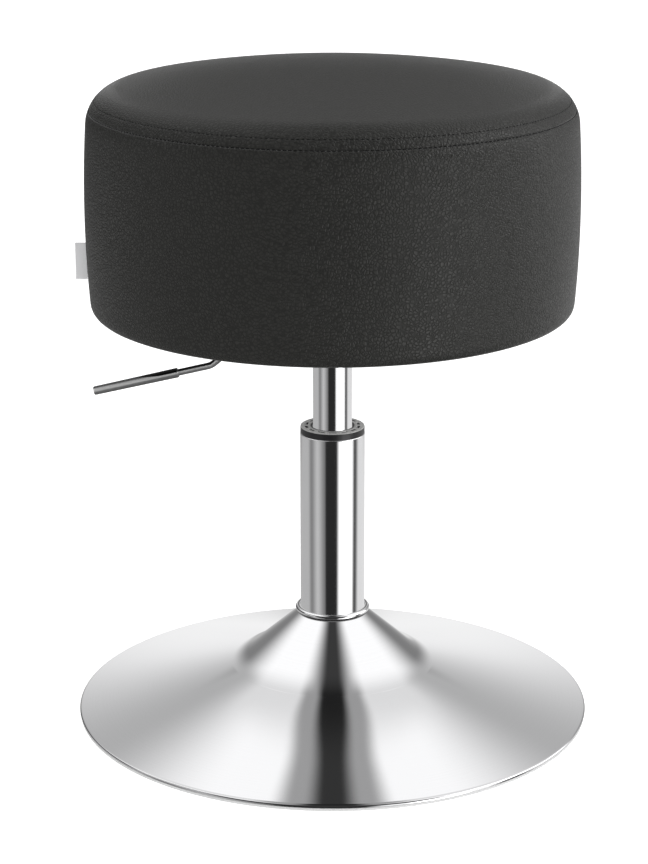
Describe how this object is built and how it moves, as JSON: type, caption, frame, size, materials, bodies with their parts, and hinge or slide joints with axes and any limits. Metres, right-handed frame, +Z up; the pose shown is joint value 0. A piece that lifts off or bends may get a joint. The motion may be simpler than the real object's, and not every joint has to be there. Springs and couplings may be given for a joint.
{
  "type": "adjustable height stool",
  "caption": "Round padded drum stool on a chrome gas-lift column with a trumpet base: the seat swivels, slides up and down, and a side lever opens the lift's valve.",
  "frame": {"origin": "on the floor, at the column's axis", "axes": "+Z up along the column; the release lever points to -X, so +X is away from it; the pictured side faces -Y"},
  "size_m": [0.4, 0.4, 0.5077],
  "materials": {
    "satin_steel": "satin, spun",
    "chrome": "mirror",
    "plain_steel": "zinc-plated",
    "black_paint": "satin powder coat",
    "black_plastic": "satin",
    "white_plastic": "matte",
    "rubber": "matte",
    "grey_vinyl": "matte",
    "black_leather": "fine pebble grain",
    "foam": "open-cell foam",
    "plywood": "raw",
    "black_felt": "non-woven",
    "white_tape": "woven tape, blank"
  },
  "bodies": {
    "base": {"base_shell": "satin_steel", "floor_ring": "grey_vinyl", "ballast_plate": "plain_steel", "hub_socket": "plain_steel", "trim_ring": "chrome", "column_tube": "chrome", "tube_end_plate": "plain_steel", "column_collar": "black_plastic", "guide_bush": "white_plastic", "bearing_lower_race": "plain_steel"},
    "ball_ring": {"bearing_cage": "black_plastic", "bearing_ball_1": "plain_steel", "bearing_ball_2": "plain_steel", "bearing_ball_3": "plain_steel", "bearing_ball_4": "plain_steel", "bearing_ball_5": "plain_steel", "bearing_ball_6": "plain_steel", "bearing_ball_7": "plain_steel", "bearing_ball_8": "plain_steel"},
    "spindle": {"piston_rod": "chrome", "piston": "black_plastic", "piston_ring": "rubber", "bearing_upper_race": "plain_steel", "rod_washer": "plain_steel", "rod_clip": "plain_steel", "bump_stop": "rubber"},
    "seat": {"gas_cylinder": "chrome", "rod_seal": "rubber", "rod_guide": "white_plastic", "valve_body": "plain_steel", "seat_plate": "black_paint", "taper_socket": "black_paint", "lever_bracket": "black_paint", "plate_bolt_1": "plain_steel", "plate_bolt_2": "plain_steel", "plate_bolt_3": "plain_steel", "plate_bolt_4": "plain_steel", "plate_washer_1": "plain_steel", "plate_washer_2": "plain_steel", "plate_washer_3": "plain_steel", "plate_washer_4": "plain_steel", "tee_nut_1": "plain_steel", "tee_nut_2": "plain_steel", "tee_nut_3": "plain_steel", "tee_nut_4": "plain_steel", "seat_board": "plywood", "seat_foam": "foam", "cover_band": "black_leather", "cover_top": "black_leather", "dust_cover": "black_felt", "side_label": "white_tape"},
    "valve": {"valve_pin": "plain_steel"},
    "lever": {"lever_rod": "chrome", "lever_grip": "chrome", "lever_pivot_pin": "plain_steel"}
  },
  "joints": [
    {"name": "seat_swivel", "type": "hinge", "parent": "base", "child": "spindle", "pos_m": [0, 0, 0], "axis": [0, 0, 1], "continuous": true},
    {"name": "bearing_roll", "type": "hinge", "parent": "base", "child": "ball_ring", "pos_m": [0, 0, 0], "axis": [0, 0, 1], "continuous": true},
    {"name": "height_lift", "type": "slide", "parent": "spindle", "child": "seat", "axis": [0, 0, 1], "range_m": [-0.05, 0.07]},
    {"name": "lever_lift", "type": "hinge", "parent": "seat", "child": "lever", "pos_m": [-0.04, 0, 0.3111], "axis": [0, 1, 0], "range_deg": [0, 6], "stiffness_Nm_per_rad": 2, "springref_deg": -8.59},
    {"name": "valve_press", "type": "slide", "parent": "seat", "child": "valve", "axis": [0, 0, -1], "range_m": [0, 0.0042]}
  ],
  "couplings": [
    {"joint": "bearing_roll", "follows": "seat_swivel", "ratio": 0.5},
    {"joint": "valve_press", "follows": "lever_lift", "m_per_rad": 0.04}
  ]
}
